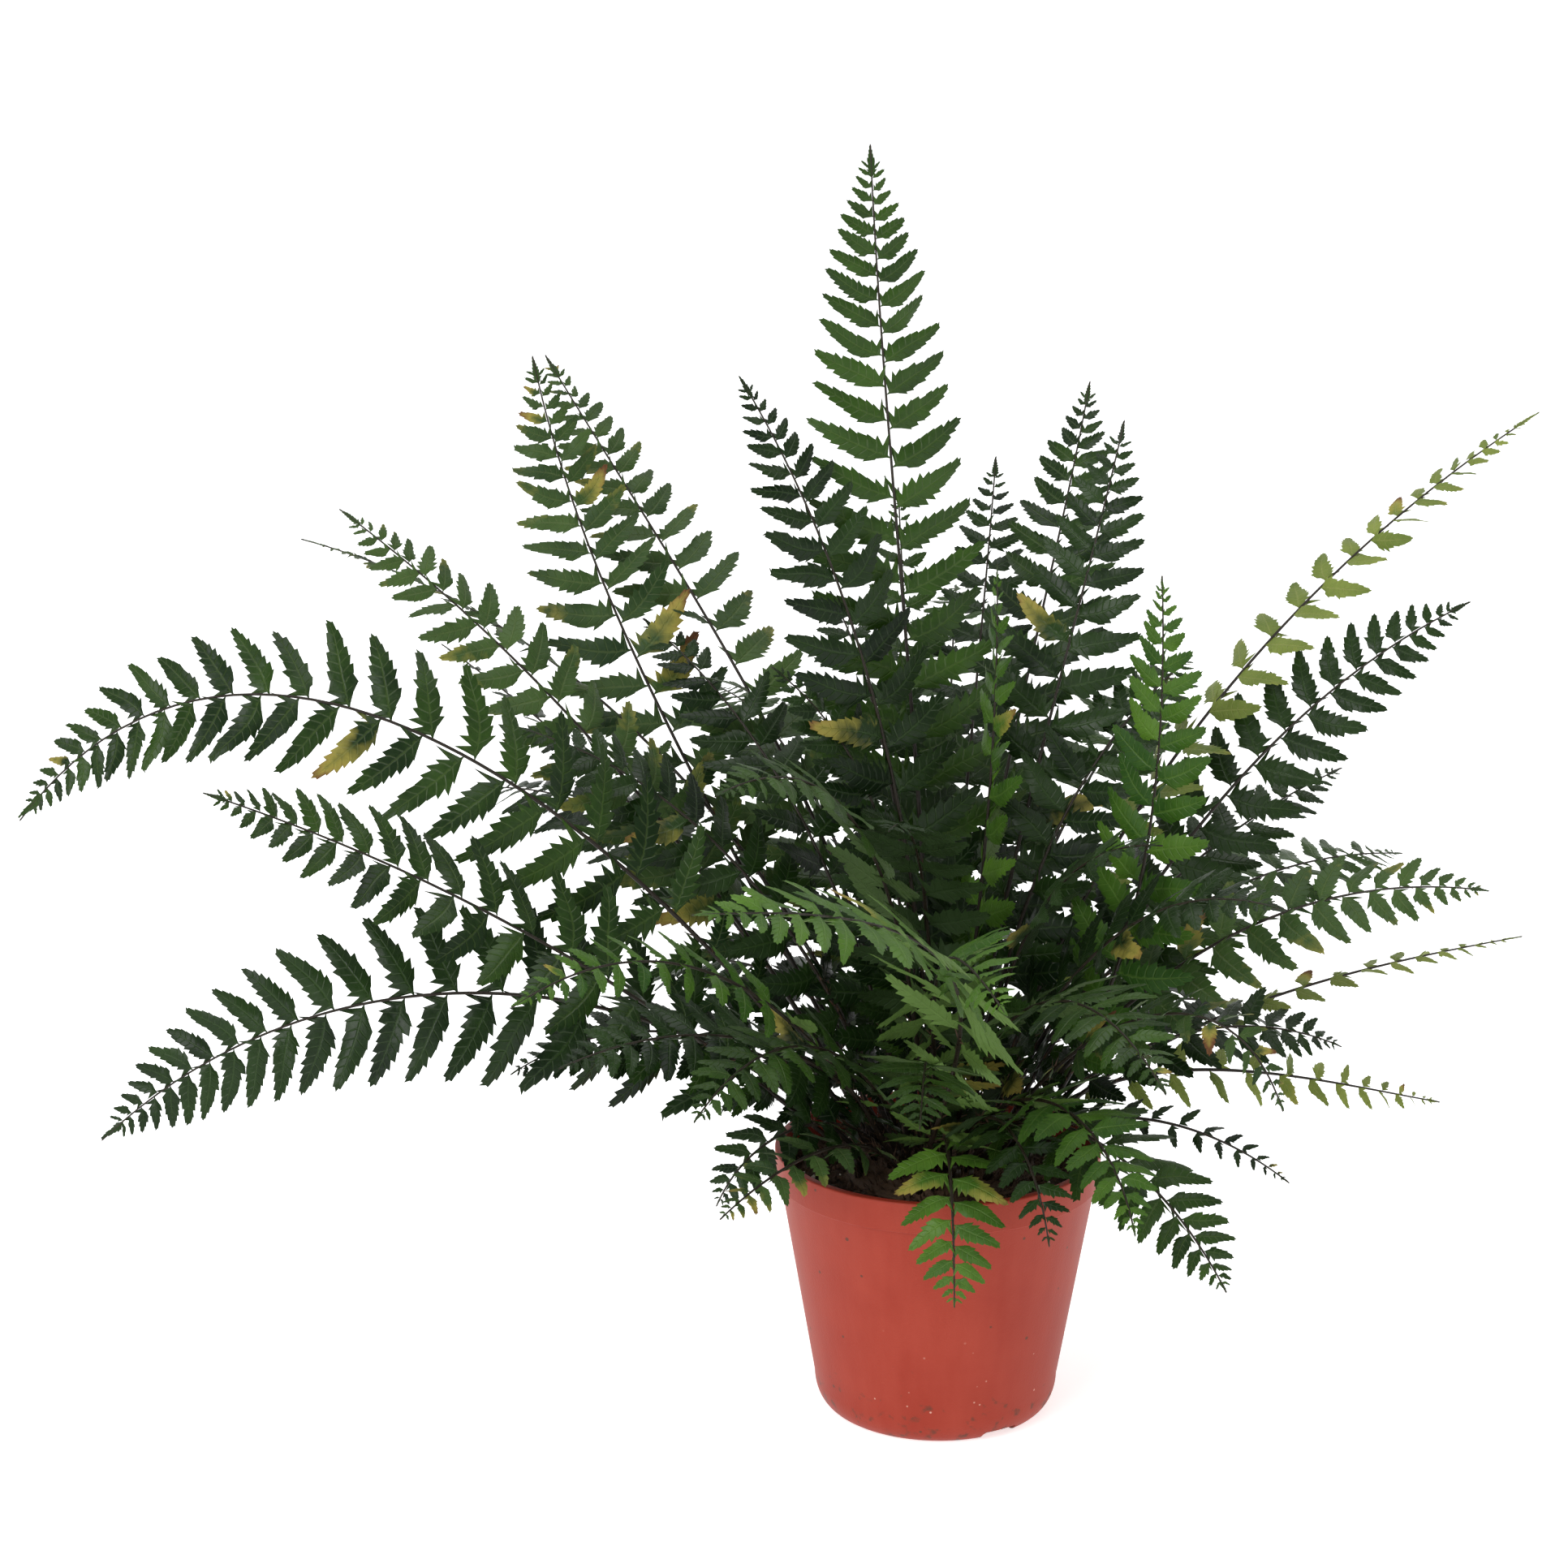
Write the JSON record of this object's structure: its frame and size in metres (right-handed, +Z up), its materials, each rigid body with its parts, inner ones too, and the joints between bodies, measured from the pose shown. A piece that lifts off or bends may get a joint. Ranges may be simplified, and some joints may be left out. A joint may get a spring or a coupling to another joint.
{
  "type": "potted fern",
  "caption": "Leathery holly-type fern with arching, toothed, feather-shaped fronds in a round terracotta-coloured plastic nursery pot.",
  "frame": {"origin": "centre of the pot's base, in the plane it stands on", "axes": "+Z up along the pot's axis, +X to the plant's right seen from its front, +Y to its back"},
  "size_m": [0.551, 0.473, 0.4663],
  "materials": {
    "pot_plastic": "terracotta-coloured moulded plastic, satin",
    "potting_mix": "dark peat and bark mix with a few perlite grains",
    "rhizome_scales": "brown papery scales",
    "frond_mature": "leathery mid-green leaf, satin",
    "frond_dark": "leathery dark green leaf, satin",
    "frond_young": "fresh bright green leaf, soft gloss",
    "frond_olive": "olive green leaf with a brown midrib",
    "frond_pale": "yellow-green ageing leaf, dull"
  },
  "bodies": {
    "root": {"pot": "pot_plastic", "soil": "potting_mix", "crown": "rhizome_scales", "frond_top": "frond_mature", "frond_top_left": "frond_dark", "frond_upper_left": "frond_olive", "frond_upper_left_back": "frond_olive", "frond_left_shoulder": "frond_olive", "frond_left_shoulder_back": "frond_olive", "frond_left_thin": "frond_dark", "frond_left_arch": "frond_mature", "frond_left_straight": "frond_mature", "frond_left_low": "frond_dark", "frond_front_left_young": "frond_young", "frond_front_sweep": "frond_young", "frond_front_left_mid": "frond_mature", "frond_front_comb": "frond_young", "frond_centre_upright": "frond_young", "frond_right_glossy": "frond_young", "frond_upper_right_back": "frond_mature", "frond_upper_right": "frond_dark", "frond_back_thin_right": "frond_dark", "frond_back_thin_left": "frond_mature", "frond_right_long": "frond_pale", "frond_right_shoulder": "frond_dark", "frond_right_mid": "frond_olive", "frond_right_pale": "frond_pale", "frond_right_hook": "frond_olive", "frond_right_tapered": "frond_pale", "frond_right_wisp": "frond_dark", "frond_front_right_low": "frond_mature", "frond_front_right_rim": "frond_young", "frond_front_hanging": "frond_young", "frond_front_dark": "frond_dark", "frond_rim_small": "frond_olive", "frond_rim_left": "frond_dark", "frond_left_front_low": "frond_dark", "frond_left_inner": "frond_dark", "frond_right_inner_back": "frond_dark", "frond_centre_left": "frond_dark", "frond_centre_right": "frond_dark", "frond_centre_front": "frond_dark", "frond_centre_back": "frond_dark", "frond_left_back_inner": "frond_dark", "frond_right_front_inner": "frond_dark", "frond_front_right_mid": "frond_dark", "frond_front_left_low": "frond_mature", "frond_front_right_arch": "frond_mature", "frond_left_skirt": "frond_dark", "frond_right_skirt": "frond_dark", "frond_back": "frond_mature", "frond_back_right": "frond_mature", "frond_back_left": "frond_mature", "frond_back_far_left": "frond_dark", "frond_back_far_right": "frond_mature", "frond_back_skirt_right": "frond_dark", "frond_back_skirt_middle": "frond_mature", "frond_back_skirt_left": "frond_dark", "frond_back_skirt_far_right": "frond_dark", "frond_front_low_middle": "frond_mature"}
  },
  "joints": []
}
